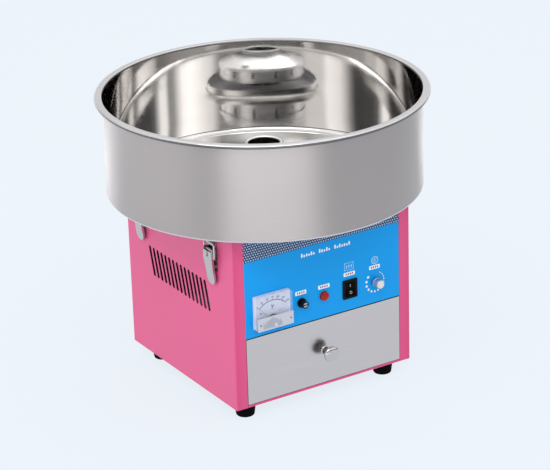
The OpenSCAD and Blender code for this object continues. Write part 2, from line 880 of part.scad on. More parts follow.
// Switch frame: a bezel, and a box behind the panel that the rocker tilts in
module switch_frame() {
  x = control_x[3];
  color("black") difference() {
    union() {
      plate_y(x, switch_z, panel_y - 2, panel_y, 26.4, 31.4, 1.5);
      block([x - 11, panel_y - 1, switch_z - 13.5], [x + 11, panel_y + 22, switch_z + 13.5]);
    }
    block([x - 9, panel_y - 3, switch_z - 12.3], [x + 9, panel_y + 10, switch_z + 12.3]);
    rod_x(switch_pivot_y, switch_z, x - 10.2, x + 10.2, switch_pin_r + run_gap);
  }
}

// Rocker: two faces that meet at a low ridge, tilting about a pin along X
module switch_rocker() {
  x = control_x[3];
  color("black") {
    translate([x - 8.6, switch_pivot_y, switch_z]) rotate([-8, 0, 0])
      rotate([90, 0, 90]) linear_extrude(17.2)
        polygon([[-4.6, 0], [-6.6, 11], [0, 11], [4.4, 4], [4.4, -4], [0, -11], [-6.6, -11]]);
    rod_x(switch_pivot_y, switch_z, x - 9.9, x + 9.9, switch_pin_r);
  }
}

// Speed control behind the panel, with its threaded bush, nut and spindle
module speed_control() {
  x = control_x[4];
  color("gray") {
    rod_y(x, row_z, panel_y + sheet, panel_y + 12, 12);
    rod_y(x, row_z, panel_y - 3, panel_y + sheet + 1, 3.8);
    rod_y(x, row_z, panel_y - 10, panel_y - 2, 3);
    difference() {
      rod_y(x, row_z, panel_y - 1.6, panel_y, 5.4);
      rod_y(x, row_z, panel_y - 3, panel_y + 1, 3.7);
    }
  }
}

// Knurled knob with a pale face and a pointer line
module speed_knob() {
  x = control_x[4];
  knob_back = panel_y - 3.6;
  color("silver") difference() {
    turned_front(x, row_z, knob_back)
      polygon([[0, 0], [7.6, 0], [7.6, 2], [7.2, 2.4], [7, 11.4], [6.2, 12.4], [0, 12.4]]);
    rod_y(x, row_z, knob_back - 7, knob_back + 1, 3 + run_gap);
    for (i = [0 : 23]) translate([x, 0, row_z]) rotate([0, i * 15, 0])
      block([6.75, knob_back - 10.6, -0.35], [8, knob_back - 2.6, 0.35]);
    translate([x, 0, row_z]) rotate([0, -57.8, 0])
      block([1, knob_back - 13, -0.5], [6.4, knob_back - 11.9, 0.5]);
  }
}

// ---------------------------------------------------------------- drawer

// Open sheet tray
module drawer_box() {
  color("lightgray") difference() {
    block([-box_half, front_y + sheet, box_low], [box_half, box_back, box_low + box_h]);
    block([-box_half + sheet, front_y + 2 * sheet, box_low + sheet],
          [box_half - sheet, box_back - sheet, box_low + box_h + 1]);
    rod_y(0, knob_z, front_y, front_y + 4, 2);
  }
}

// Brushed front with edges folded back
module drawer_front() {
  low = low_z + drawer_low;
  color("silver") difference() {
    union() {
      block([-front_half, front_y, low], [front_half, front_y + sheet, low + drawer_h]);
      for (s = [-1, 1])
        on_side(s) block([front_half - sheet, front_y, low], [front_half, front_y + 8, low + drawer_h]);
      block([-front_half, front_y, low + drawer_h - sheet], [front_half, front_y + 8, low + drawer_h]);
    }
    rod_y(0, knob_z, front_y - 1, front_y + 3, 2);
  }
}

// Mushroom knob with its screw
module drawer_knob() {
  color("silver") {
    turned_front(0, knob_z, front_y) {
      polygon([
        [0, 0], [7.5, 0], [7.5, 1.4], [5, 3], [4.4, 6], [4.6, 10], [6.4, 13], [11.5, 15.2],
        [13, 17.4], [13, 20.6], [11.6, 22.6], [7, 23.8], [0, 24]
      ]);
    }
    rod_y(0, knob_z, front_y - 1, front_y + 4.6, 2);
    rod_y(0, knob_z, front_y + 2 * sheet, front_y + 2 * sheet + 2.6, 4.4);
  }
}

// ---------------------------------------------------------------- one line for each node

side_left();
side_right();
rear_panel();
base_pan();
top_deck();
front_panel();
divider_shelf();
drawer_runners();
rear_screws();
rubber_feet();
chassis_screws();
power_inlet();
bowl();
bowl_gasket();
bowl_catches();
latch_bases();
latch_rivets();
latch_pins();
latch_lever_front_left();
latch_lever_front_right();
latch_lever_rear_left();
latch_lever_rear_right();
latch_bail_front_left();
latch_bail_front_right();
latch_bail_rear_left();
latch_bail_rear_right();
motor_housing();
motor_cover();
motor_stator();
motor_rotor();
motor_shaft();
motor_bearings();
motor_mounts();
slip_ring_hub();
slip_rings();
brush_holder();
brushes();
spinner_base();
spinner_band();
heater_ring();
heater_posts();
spinner_lid();
spinner_screws();
meter_case();
meter_dial();
meter_needle();
meter_window();
meter_cover();
fuse_holder();
fuse_cap();
lamp_body();
lamp_lens();
switch_frame();
switch_rocker();
speed_control();
speed_knob();
drawer_box();
drawer_front();
drawer_knob();
control_board();
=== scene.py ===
import json
import math

import bpy
from mathutils import Matrix, Vector


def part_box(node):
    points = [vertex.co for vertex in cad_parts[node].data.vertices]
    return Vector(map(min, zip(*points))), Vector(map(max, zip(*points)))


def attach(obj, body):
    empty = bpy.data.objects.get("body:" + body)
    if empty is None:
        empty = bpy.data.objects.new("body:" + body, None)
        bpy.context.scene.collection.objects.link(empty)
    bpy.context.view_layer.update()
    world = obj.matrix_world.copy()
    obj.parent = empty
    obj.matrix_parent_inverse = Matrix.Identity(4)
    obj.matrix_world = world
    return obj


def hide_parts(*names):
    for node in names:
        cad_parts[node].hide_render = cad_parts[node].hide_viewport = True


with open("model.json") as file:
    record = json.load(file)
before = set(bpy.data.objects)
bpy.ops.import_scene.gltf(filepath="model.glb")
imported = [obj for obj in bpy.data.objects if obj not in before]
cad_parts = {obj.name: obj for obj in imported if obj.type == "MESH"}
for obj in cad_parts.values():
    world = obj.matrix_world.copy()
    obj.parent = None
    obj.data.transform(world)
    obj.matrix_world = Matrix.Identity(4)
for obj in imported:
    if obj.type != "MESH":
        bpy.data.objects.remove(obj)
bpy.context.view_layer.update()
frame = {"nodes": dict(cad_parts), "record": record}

NODES = frame["nodes"]
MM = 0.001
PANEL_Y = -0.1605       # front of the blue panel
DRAWER_Y = -0.161       # front of the drawer
ROW_Z = 0.1696          # height of the row of controls
METER_X, FUSE_X, SWITCH_X, SPEED_X = -0.0956, -0.0405, 0.0486, 0.0963
SKIN = 0.00002          # air, or overlap, between a printed mark and the face it lies on


def rgba(value):
    """A colour of three values gets its alpha; anything else stays as it is."""
    return (*value, 1) if isinstance(value, tuple) and len(value) == 3 else value


def add_object(name, data):
    """A new object in the scene that holds a mesh, a camera or a light."""
    obj = bpy.data.objects.new(name, data)
    bpy.context.scene.collection.objects.link(obj)
    return obj


# ------------------------------------------------------------ node helpers


class Shader:
    """A node tree with short calls for the nodes that the materials use."""

    def __init__(self, tree):
        self.tree = tree
        tree.nodes.clear()

    def node(self, kind, **values):
        n = self.tree.nodes.new(kind)
        for key, value in values.items():
            setattr(n, key, value)
        return n

    def put(self, socket, value):
        if hasattr(value, "links") and hasattr(value, "is_output"):
            self.tree.links.new(value, socket)
        else:
            socket.default_value = value

    def math(self, op, a, b=0.0):
        n = self.node("ShaderNodeMath", operation=op)
        self.put(n.inputs[0], a)
        self.put(n.inputs[1], b)
        return n.outputs[0]

    def coords(self, scale=(1, 1, 1)):
        c = self.node("ShaderNodeTexCoord")
        m = self.node("ShaderNodeMapping")
        m.inputs["Scale"].default_value = scale
        self.tree.links.new(c.outputs["Object"], m.inputs["Vector"])
        return m.outputs["Vector"]

    def xyz(self, space="Object"):
        """The three coordinates of the place that is shaded."""
        c = self.node("ShaderNodeTexCoord")
        split = self.node("ShaderNodeSeparateXYZ")
        self.tree.links.new(c.outputs[space], split.inputs[0])
        return split.outputs[0], split.outputs[1], split.outputs[2]

    def noise(self, scale, stretch=(1, 1, 1), detail=4.0, rough=0.55):
        n = self.node("ShaderNodeTexNoise")
        n.inputs["Scale"].default_value = scale
        n.inputs["Detail"].default_value = detail
        n.inputs["Roughness"].default_value = rough
        self.put(n.inputs["Vector"], self.coords(stretch))
        return n.outputs[0]

    def ramp(self, value, stops):
        n = self.node("ShaderNodeValToRGB")
        elements = n.color_ramp.elements
        while len(elements) < len(stops):
            elements.new(0.5)
        for e, (at, colour) in zip(elements, stops):
            e.position = at
            e.color = rgba(colour)
        self.put(n.inputs[0], value)
        return n.outputs[0]

    def span(self, value, low, high, a=0.0, b=1.0):
        """The value from low to high, mapped to a to b and held there beyond both ends."""
        n = self.node("ShaderNodeMapRange")
        for i, v in enumerate([value, low, high, a, b]):
            self.put(n.inputs[i], v)
        return n.outputs[0]

    def mix(self, factor, a, b):
        n = self.node("ShaderNodeMix", data_type="RGBA")
        self.put(n.inputs[0], factor)
        self.put(n.inputs[6], rgba(a))
        self.put(n.inputs[7], rgba(b))
        return n.outputs[2]

    def bump(self, height, strength, distance):
        n = self.node("ShaderNodeBump")
        n.inputs["Strength"].default_value = strength
        n.inputs["Distance"].default_value = distance
        self.put(n.inputs["Height"], height)
        return n.outputs[0]


MATERIALS = {}


def material(name, build, **fixed):
    """A Principled material: build(shader, surface) adds the detail, fixed sets plain sockets."""
    m = bpy.data.materials.new(name)
    m.use_nodes = True
    s = Shader(m.node_tree)
    surface = s.node("ShaderNodeBsdfPrincipled")
    out = s.node("ShaderNodeOutputMaterial")
    m.node_tree.links.new(surface.outputs[0], out.inputs[0])
    for key, value in fixed.items():
        surface.inputs[key.replace("_", " ")].default_value = rgba(value)
    build(s, surface)
    MATERIALS[name] = m


def shades(colour, amount):
    """A darker and a lighter shade of a colour."""
    return tuple(c * (1 - amount) for c in colour), tuple(min(1.0, c * (1 + amount)) for c in colour)


def worn(colour, amount=0.06, scale=9.0, rough=(0.3, 0.4), grain=260.0, grain_mm=0.02,
         stretch=(1, 1, 1), strength=0.35, dirt=None):
    """Colour that drifts a little, with fine grain in the roughness and the surface."""

    def build(s, surface):
        drift = s.noise(scale, detail=5)
        base = s.mix(drift, *shades(colour, amount))
        fine = s.noise(grain, stretch, detail=3)
        if dirt:
            spots = s.span(s.noise(scale * 4, detail=6), 0.6, 0.8)
            base = s.mix(s.math("MULTIPLY", spots, 0.5), base, dirt)
        s.put(surface.inputs["Base Color"], base)
        both = s.math("ADD", s.math("MULTIPLY", drift, 0.5), s.math("MULTIPLY", fine, 0.5))
        s.put(surface.inputs["Roughness"], s.span(both, 0.3, 0.7, *rough))
        s.put(surface.inputs["Normal"], s.bump(fine, strength, grain_mm * MM))

    return build


def brushed(colour, stretch, amount=0.05, rough=(0.25, 0.38), grain=60.0, grain_mm=0.012,
            strength=0.3):
    """Metal with long fine scratches along the axis whose stretch is small."""

    def build(s, surface):
        lines = s.noise(grain, stretch, detail=6, rough=0.7)
        drift = s.noise(5, detail=4)
        base = s.mix(s.span(lines, 0.35, 0.65), *shades(colour, amount))
        base = s.mix(s.span(drift, 0.3, 0.7, 0.0, 0.35), base, tuple(c * 0.93 for c in colour))
        s.put(surface.inputs["Base Color"], base)
        both = s.math("ADD", s.math("MULTIPLY", lines, 0.6), s.math("MULTIPLY", drift, 0.4))
        s.put(surface.inputs["Roughness"], s.span(both, 0.3, 0.7, *rough))
        s.put(surface.inputs["Normal"], s.bump(lines, strength, grain_mm * MM))

    return build


# ------------------------------------------------------------ mesh helpers


def smooth_faces(mesh, sharp):
    for p in mesh.polygons:
        p.use_smooth = True
    mesh.set_sharp_from_angle(angle=math.radians(sharp))


def make(name, verts, faces, body, mats, face_mats=(), smooth=True, sharp=35):
    """A mesh piece that rides on a body, smooth up to edges sharper than an angle in degrees."""
    mesh = bpy.data.meshes.new(name)
    mesh.from_pydata([tuple(v) for v in verts], [], faces)
    mesh.validate()
    obj = add_object(name, mesh)
    for m in mats:
        mesh.materials.append(MATERIALS[m])
    for p, i in zip(mesh.polygons, face_mats):
        p.material_index = i
    if smooth:
        smooth_faces(mesh, sharp)
    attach(obj, body)
    return obj


def arc(cx, cy, r, a, b, n):
    """Points on a circle from angle a to angle b in degrees."""
    return [(cx + r * math.cos(math.radians(a + (b - a) * i / n)),
             cy + r * math.sin(math.radians(a + (b - a) * i / n))) for i in range(n + 1)]


def lathe_faces(profile, segments, closed=False):
    """A profile of (r, z) turned about Z: its vertices, its faces and the profile row of each face."""
    verts = []
    for r, z in profile:
        for k in range(segments):
            a = 2 * math.pi * k / segments
            verts.append((r * math.cos(a), r * math.sin(a), z))
    faces, rows = [], []
    n = len(profile)
    for i in range(n if closed else n - 1):
        j = (i + 1) % n
        for k in range(segments):
            m = (k + 1) % segments
            faces.append((i * segments + k, i * segments + m, j * segments + m, j * segments + k))
            rows.append(i)
    return verts, faces, rows


class Print:
    """Flat shapes in front of a plane that faces -Y, gathered into one piece."""

    def __init__(self, y, thick):
        self.y = y
        self.thick = thick
        self.verts = []
        self.faces = []

    def shape(self, points):
        """A filled outline, counter-clockwise as seen from the front, with a rim to the face."""
        start = len(self.verts)
        n = len(points)
        for x, z in points:
            self.verts.append((x, self.y - self.thick, z))
        for x, z in points:
            self.verts.append((x, self.y, z))
        self.faces.append(tuple(range(start, start + n)))
        for i in range(n):
            j = (i + 1) % n
            self.faces.append((start + i, start + n + i, start + n + j, start + j))

    def bar(self, x, z, w, h, angle=0.0, r=0.0):
        """A bar about its middle, with corners of radius r."""
        c, s = math.cos(angle), math.sin(angle)
        if r > 0:
            corner = []
            for sx, sz, a in [(1, -1, -90), (1, 1, 0), (-1, 1, 90), (-1, -1, 180)]:
                corner += arc(sx * (w / 2 - r), sz * (h / 2 - r), r, a, a + 90, 4)
        else:
            corner = [(-w / 2, -h / 2), (w / 2, -h / 2), (w / 2, h / 2), (-w / 2, h / 2)]
        self.shape([(x + c * u - s * v, z + s * u + c * v) for u, v in corner])

    def disc(self, x, z, r, n=20):
        self.shape([(x + r * math.cos(2 * math.pi * i / n), z + r * math.sin(2 * math.pi * i / n))
                    for i in range(n)])

    def ring(self, x, z, r_out, r_in, a=0.0, b=360.0, n=32):
        """An arc band, built of short four-sided shapes."""
        for i in range(n):
            a0 = math.radians(a + (b - a) * i / n)
            a1 = math.radians(a + (b - a) * (i + 1) / n)
            self.shape([(x + r_in * math.cos(a0), z + r_in * math.sin(a0)),
                        (x + r_out * math.cos(a0), z + r_out * math.sin(a0)),
                        (x + r_out * math.cos(a1), z + r_out * math.sin(a1)),
                        (x + r_in * math.cos(a1), z + r_in * math.sin(a1))])

    def split_disc(self, x, z, r, angle, n):
        """A round face cut across by a slot, such as a screw head's: two halves of 14 to 166 degrees."""
        c, s = math.cos(angle), math.sin(angle)
        for side in (-1, 1):
            half = [(x + (c * u - side * s * v), z + (s * u + side * c * v))
                    for u, v in arc(0, 0, r, 14, 166, n)]
            self.shape(half if side > 0 else half[::-1])

    def done(self, name, body, mat):
        return make(name, self.verts, self.faces, body, [mat], smooth=False)


# ------------------------------------------------------------ materials

PINK = (0.712, 0.097, 0.247)
# painted shade: a darker pink for the front strips, and darker still for the bends beside them
STRIP_SHADE_PINK = (0.70, 0.078, 0.222)
BEND_SHADE_PINK = (0.3, 0.02, 0.08)
# painted shade, near black, for the inside of the cabinet and the walls of the slots
INSIDE_SHADE = (0.003, 0.0015, 0.002)
BLUE = (0.003, 0.32, 0.80)
DOT_BAND = (0.008, 0.04, 0.13)
DOT = (0.42, 0.52, 0.66)
DOT_BAND_Z = 0.2592                     # lower edge of the dotted band
DOT_PITCH_X, DOT_PITCH_Z = 0.00435, 0.0039
SIDE_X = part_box("side_right")[1].x
SIDE_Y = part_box("side_right")[1].y
DECK_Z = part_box("side_right")[1].z


def pink_paint(s, surface):
    """Pink enamel, with painted shade on the front strips, darker towards their bends, and painted shade
    near black inside the cabinet and in the slots.
    """
    skin, strip_depth, deck_depth = 0.0003, 0.0033, 0.003
    bend_start, bend_end, bend_shade_depth = 0.012, 0.003, 0.12
    worn(PINK, amount=0.03, scale=4, rough=(0.34, 0.42), grain=900, grain_mm=0.03)(s, surface)
    x, y, z = s.xyz()
    across = s.math("ABSOLUTE", x)
    under = s.math("LESS_THAN", across, SIDE_X - skin)
    middle = s.math("LESS_THAN", s.math("ABSOLUTE", y), SIDE_Y - strip_depth)
    below = s.math("LESS_THAN", z, DECK_Z - deck_depth)
    # inside the cabinet and on the walls of the slots the paint gives way to painted shade near black
    inner = s.math("MULTIPLY", s.math("MULTIPLY", under, middle), below)
    paint = surface.inputs["Base Color"].links[0].from_socket
    # the front strips get a darker pink as painted shade, darker still towards the bends
    front = s.math("LESS_THAN", y, 0.0004 - SIDE_Y)
    bend_shade = s.span(across, SIDE_X - bend_start, SIDE_X - bend_end, 0.0, bend_shade_depth)
    paint = s.mix(front, paint, s.mix(bend_shade, STRIP_SHADE_PINK, BEND_SHADE_PINK))
    s.put(surface.inputs["Base Color"], s.mix(inner, paint, INSIDE_SHADE))


def blue_paint(s, surface):
    """Blue enamel with a dark band of staggered dots at the top; painted shade near black on the back,
    inside the cabinet.
    """
    x, y, z = s.xyz()
    u = s.math("DIVIDE", x, DOT_PITCH_X)
    v = s.math("DIVIDE", s.math("SUBTRACT", z, DOT_BAND_Z), DOT_PITCH_Z)
    row = s.math("FLOOR", v)
    shift = s.math("MULTIPLY", s.math("PINGPONG", row, 1.0), 0.5)
    fu = s.math("SUBTRACT", s.math("FRACT", s.math("ADD", u, shift)), 0.5)
    fv = s.math("SUBTRACT", s.math("FRACT", v), 0.5)
    fu2 = s.math("POWER", s.math("ABSOLUTE", fu), 2.0)
    fv2 = s.math("POWER", s.math("ABSOLUTE", fv), 2.0)
    far = s.math("SQRT", s.math("ADD", fu2, s.math("MULTIPLY", fv2, 0.8)))
    dots = s.span(far, 0.27, 0.33, 1.0, 0.0)
    blue = s.mix(s.noise(5, detail=4), *shades(BLUE, 0.04))
    band = s.mix(dots, DOT_BAND, DOT)
    high = s.math("GREATER_THAN", z, DOT_BAND_Z)
    # the back of the panel, inside the cabinet, gets painted shade
    behind = s.math("GREATER_THAN", y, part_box("front_panel")[0].y + 0.0003)
    s.put(surface.inputs["Base Color"], s.mix(behind, s.mix(high, blue, band), INSIDE_SHADE))
    fine = s.noise(700, detail=3)
    s.put(surface.inputs["Roughness"], s.span(fine, 0.3, 0.7, 0.28, 0.36))
    s.put(surface.inputs["Normal"], s.bump(fine, 0.2, 0.02 * MM))


material("pink_paint", pink_paint, Specular_IOR_Level=0.36)
material("blue_paint", blue_paint, Specular_IOR_Level=0.18)
material("sheet_steel", brushed((0.5, 0.5, 0.51), (1, 0.03, 1)), Metallic=1.0)
material("drawer_steel", brushed((0.61, 0.575, 0.575), (0.03, 1, 1), amount=0.02, rough=(0.2, 0.28),
                                 grain=260), Metallic=1.0)
material("drawer_box_steel", brushed((0.5, 0.5, 0.5), (1, 0.03, 1)), Metallic=1.0)


def bowl_outside(s, surface):
    """Satin steel with fine lines round the wall, which widen the reflections up and down."""
    brushed((0.42, 0.386, 0.382), (1, 1, 30), amount=0.03, rough=(0.36, 0.42), grain=40,
            grain_mm=0.006, strength=0.15)(s, surface)
    t = s.node("ShaderNodeTangent", direction_type="RADIAL", axis="Z")
    s.tree.links.new(t.outputs[0], surface.inputs["Tangent"])


def bowl_inside(s, surface):
    """Bright rolled steel: long soft waves and a light haze, warm where it mirrors itself."""
    waves = s.noise(9, (1, 1, 0.25), detail=3)
    haze = s.noise(60, (1, 1, 4), detail=5)
    base = s.mix(waves, (0.685, 0.672, 0.66), (0.76, 0.75, 0.742))
    s.put(surface.inputs["Base Color"], base)
    s.put(surface.inputs["Roughness"], s.span(haze, 0.3, 0.7, 0.03, 0.08))
    s.put(surface.inputs["Normal"], s.bump(waves, 0.1, 1.2 * MM))


material("bowl_outside", bowl_outside, Metallic=1.0, Anisotropic=0.75, Anisotropic_Rotation=0.25)
material("bowl_inside", bowl_inside, Metallic=1.0)
material("bowl_rim", brushed((0.68, 0.675, 0.70), (1, 1, 6), amount=0.03, rough=(0.12, 0.2), grain=30,
                             grain_mm=0.003, strength=0.1), Metallic=1.0)
# painted shade: a darker copy of the rim steel for the underside and the inner shoulder of the rolled rim
material("bowl_rim_shaded", brushed((0.16, 0.155, 0.155), (1, 1, 6), amount=0.1, rough=(0.3, 0.4),
                                   grain=30), Metallic=1.0)
material("catch_steel", brushed((0.55, 0.55, 0.56), (1, 1, 0.05), rough=(0.25, 0.35)), Metallic=1.0)
material("latch_steel", worn((0.52, 0.51, 0.5), amount=0.1, scale=60, rough=(0.12, 0.22), grain=600,
                             grain_mm=0.01), Metallic=1.0)
# painted shade: a darker copy of the latch steel for the latch bases, darkening round the top of each
# lever
material("latch_shade_steel", worn((0.2, 0.195, 0.19), amount=0.15, scale=60, rough=(0.2, 0.34), grain=900,
                            grain_mm=0.01), Metallic=1.0)
material("wire_steel", worn((0.5, 0.49, 0.47), amount=0.1, scale=60, rough=(0.22, 0.34), grain=900,
                            grain_mm=0.01), Metallic=1.0)
material("screw_steel", worn((0.52, 0.52, 0.53), amount=0.1, scale=80, rough=(0.2, 0.34), grain=900,
                             grain_mm=0.01), Metallic=1.0)
material("knob_shade", worn((0.1, 0.095, 0.09), amount=0.1, scale=120, rough=(0.08, 0.16), grain=900,
                            grain_mm=0.003, strength=0.15), Metallic=1.0)
material("knob_chrome", worn((0.56, 0.54, 0.545), amount=0.03, scale=30, rough=(0.06, 0.11), grain=900,
                             grain_mm=0.003, strength=0.15), Metallic=1.0)
material("rubber", worn((0.004, 0.0035, 0.004), amount=0.2, scale=50, rough=(0.6, 0.8), grain=1200,
                        grain_mm=0.06), Specular_IOR_Level=0.02)
material("gasket_rubber", worn((0.08, 0.08, 0.08), amount=0.15, scale=40, rough=(0.6, 0.75)))
material("inlet_plastic", worn((0.02, 0.02, 0.022), amount=0.1, scale=60, rough=(0.4, 0.5), grain=1500,
                               grain_mm=0.05))
material("motor_iron", worn((0.09, 0.1, 0.11), amount=0.15, scale=30, rough=(0.4, 0.6), grain=500,
                            grain_mm=0.08, dirt=(0.05, 0.045, 0.04)), Metallic=0.3)
material("copper_windings", brushed((0.48, 0.2, 0.09), (1, 1, 0.05), amount=0.3, rough=(0.3, 0.5),
                                    grain=200), Metallic=1.0)
material("rotor_iron", brushed((0.24, 0.24, 0.25), (0.2, 0.2, 4), amount=0.1), Metallic=1.0)
material("brown_plastic", worn((0.13, 0.06, 0.03), amount=0.15, scale=50, rough=(0.35, 0.5)))
material("brass", brushed((0.7, 0.48, 0.18), (0.2, 0.2, 6), amount=0.08, rough=(0.18, 0.3)),
         Metallic=1.0)
material("carbon", worn((0.02, 0.02, 0.02), amount=0.3, scale=200, rough=(0.5, 0.7)))
material("head_aluminium", brushed((0.76, 0.76, 0.77), (0.3, 0.3, 6), amount=0.04, rough=(0.16, 0.24),
                                   grain=50, grain_mm=0.006), Metallic=1.0)


def lid_metal(s, surface):
    """Turned aluminium with painted shade, a ragged dark ring, round the foot of the filler ring."""
    brushed((0.86, 0.86, 0.87), (0.3, 0.3, 6), amount=0.04, rough=(0.24, 0.34), grain=50,
            grain_mm=0.006)(s, surface)
    x, y, _ = s.xyz()
    radius = s.math("SQRT", s.math("ADD", s.math("MULTIPLY", x, x), s.math("MULTIPLY", y, y)))
    edge = s.math("ADD", radius, s.span(s.noise(70, detail=4), 0.3, 0.7, -0.004, 0.004))
    beside_ring = s.math("GREATER_THAN", radius, 0.0296)
    foot_shade = s.math("MULTIPLY", s.span(edge, 0.036, 0.045, 0.85, 0.0), beside_ring)
    metal = surface.inputs["Base Color"].links[0].from_socket
    # painted shade: the metal turns dark brown in a ragged ring round the foot of the filler ring
    s.put(surface.inputs["Base Color"], s.mix(foot_shade, metal, (0.09, 0.075, 0.06)))


material("lid_metal", lid_metal, Metallic=1.0)
material("heating_wire", worn((0.2, 0.17, 0.15), amount=0.25, scale=90, rough=(0.4, 0.6)),
         Metallic=0.8)
material("ceramic", worn((0.76, 0.72, 0.62), amount=0.06, scale=80, rough=(0.5, 0.7), grain=900,
                         grain_mm=0.05))
material("meter_plastic", worn((0.78, 0.78, 0.9), amount=0.03, scale=40, rough=(0.18, 0.28)))
material("dial_card", worn((0.56, 0.60, 0.76), amount=0.02, scale=60, rough=(0.5, 0.6), grain=1500,
                           grain_mm=0.02))
material("needle_black", worn((0.16, 0.16, 0.18), amount=0.2, scale=90, rough=(0.35, 0.45)))
material("clear_window", worn((0.9, 0.92, 0.98), amount=0.01, scale=30, rough=(0.03, 0.07), grain=300,
                              grain_mm=0.004, strength=0.1), Alpha=0.08)


def frosted(s, surface):
    """Pale frosted plastic with fine upright ribs."""
    worn((0.53, 0.545, 0.62), amount=0.04, scale=60, rough=(0.25, 0.35))(s, surface)
    ribs = s.noise(520, (1, 1, 0.02), detail=1)
    fine = s.bump(s.span(ribs, 0.4, 0.6), 0.4, 0.12 * MM)
    s.put(surface.inputs["Normal"], fine)


material("cover_plastic", frosted)
material("black_plastic", worn((0.006, 0.006, 0.007), amount=0.15, scale=90, rough=(0.22, 0.34),
                               grain=1500, grain_mm=0.02), Specular_IOR_Level=0.08)
material("rocker_plastic", worn((0.0025, 0.0025, 0.003), amount=0.15, scale=90, rough=(0.25, 0.35)),
         Specular_IOR_Level=0.04)
material("lamp_red", worn((0.22, 0.01, 0.006), amount=0.1, scale=90, rough=(0.25, 0.35)))


def lens(s, surface):
    """Red lens with a moulded grid behind it."""
    cells = s.node("ShaderNodeTexVoronoi")
    cells.inputs["Scale"].default_value = 900
    s.put(cells.inputs["Vector"], s.coords())
    d = cells.outputs["Distance"]
    grid = s.mix(s.span(d, 0.1, 0.6), (0.55, 0.032, 0.008), (0.3, 0.01, 0.004))
    s.put(surface.inputs["Base Color"], grid)
    s.put(surface.inputs["Roughness"], s.span(d, 0.0, 1.0, 0.12, 0.25))
    s.put(surface.inputs["Normal"], s.bump(d, 0.15, 0.1 * MM))


material("lens_red", lens, Specular_IOR_Level=0.2)
material("control_metal", worn((0.45, 0.45, 0.46), amount=0.1, scale=80, rough=(0.3, 0.4)), Metallic=1.0)
material("knob_plastic", worn((0.42, 0.5, 0.66), amount=0.05, scale=90, rough=(0.2, 0.3)), Metallic=0.6)
material("knob_face", worn((0.74, 0.7, 0.62), amount=0.04, scale=90, rough=(0.25, 0.35)))
material("board", worn((0.02, 0.14, 0.06), amount=0.15, scale=80, rough=(0.35, 0.5)))
material("label_white", worn((0.86, 0.88, 0.92), amount=0.03, scale=120, rough=(0.3, 0.4)))
material("ink_white", worn((0.85, 0.9, 0.96), amount=0.03, scale=150, rough=(0.35, 0.45)))
material("ink_pale_blue", worn((0.35, 0.62, 0.88), amount=0.05, scale=150, rough=(0.35, 0.45)))
material("ink_red", worn((0.22, 0.02, 0.03), amount=0.1, scale=150, rough=(0.35, 0.45)))
material("rib_plastic", worn((0.36, 0.36, 0.42), amount=0.06, scale=120, rough=(0.25, 0.35)))
material("screw_dark", worn((0.07, 0.065, 0.075), amount=0.15, scale=200, rough=(0.3, 0.4)))
# painted shade: near black rings that make the air slots look wider and darker
material("slot_shade_black", worn((0.006, 0.003, 0.004), amount=0.2, scale=90, rough=(0.5, 0.6)),
         Specular_IOR_Level=0.05)
material("ink_grey", worn((0.34, 0.34, 0.36), amount=0.05, scale=150, rough=(0.35, 0.45)))
# burnt sugar, and painted shade: very dark steel that darkens the hollow inside the head's ring
material("burnt_and_shaded_steel", worn((0.07, 0.06, 0.055), amount=0.3, scale=120, rough=(0.18, 0.34), grain=500,
                             grain_mm=0.05, dirt=(0.03, 0.015, 0.008)), Metallic=1.0)
material("ink_black", worn((0.03, 0.03, 0.035), amount=0.1, scale=150, rough=(0.4, 0.5)))

# a CAD node wears the material of its slot, except for these
# the latch bases wear a dark steel as painted shade round the levers
OWN_LOOK = {"bowl": "bowl_outside", "drawer_box": "drawer_box_steel", "latch_bases": "latch_shade_steel",
            "spinner_lid": "lid_metal"}
for part in frame["record"]["subparts"]:
    mesh = NODES[part["node"]].data
    mesh.materials.clear()
    mesh.materials.append(MATERIALS[OWN_LOOK.get(part["node"], part["material_slot"])])
    smooth_faces(mesh, 30)

# ------------------------------------------------------------ bowl

(_, _, bowl_low), (_, _, bowl_top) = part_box("bowl")
OUTSIDE, INSIDE, RIM, RIM_SHADED = range(4)
SHEET = 0.001                           # thickness of the wall and the floor
WALL = 0.247                            # radius inside the wall
CORNER = 0.006
HOLE_R, COLLAR = 0.0835, 0.013          # the collar round the hole in the floor
RIM_W, RIM_H = 0.0063, 0.0032           # half the width and half the height of the rolled rim
rim_z = bowl_top - RIM_H
bead = WALL + RIM_W
flat = RIM_W - RIM_H
floor_z = bowl_low + SHEET
profile, zones = [], []


def add(points, zone):
    for p in points:
        profile.append(p)
        zones.append(zone)


# inside: collar, floor, corner, wall; then the rolled rim, with painted shade on its inner shoulder and
# its underside; then outside down to the underside
add([(HOLE_R + SHEET, floor_z + COLLAR), (HOLE_R + SHEET, floor_z + 0.003)], INSIDE)
add(arc(HOLE_R + SHEET + 0.003, floor_z + 0.003, 0.003, 180, 270, 6), INSIDE)
add([(0.11, floor_z), (0.14, floor_z), (0.18, floor_z), (0.22, floor_z)], INSIDE)
add(arc(WALL - CORNER, floor_z + CORNER, CORNER, -90, 0, 10), INSIDE)
add([(WALL, floor_z + 0.03), (WALL, floor_z + 0.07), (WALL, rim_z - 0.02), (WALL, rim_z)], INSIDE)
add(arc(bead - flat, rim_z, RIM_H, 180, 130, 8)[1:], RIM_SHADED)
add(arc(bead - flat, rim_z, RIM_H, 130, 90, 6)[1:], RIM)
add(arc(bead + flat, rim_z, RIM_H, 90, 24, 10), RIM)
add(arc(bead + flat, rim_z, RIM_H, 24, -90, 14)[1:], RIM_SHADED)
add([(bead - flat, rim_z - RIM_H), (bead - flat - 0.0008, rim_z - RIM_H + 0.0005)], RIM_SHADED)
add([(WALL + SHEET, rim_z - 0.0022)], OUTSIDE)
add([(WALL + SHEET, bowl_low + 0.08), (WALL + SHEET, bowl_low + 0.003)], OUTSIDE)
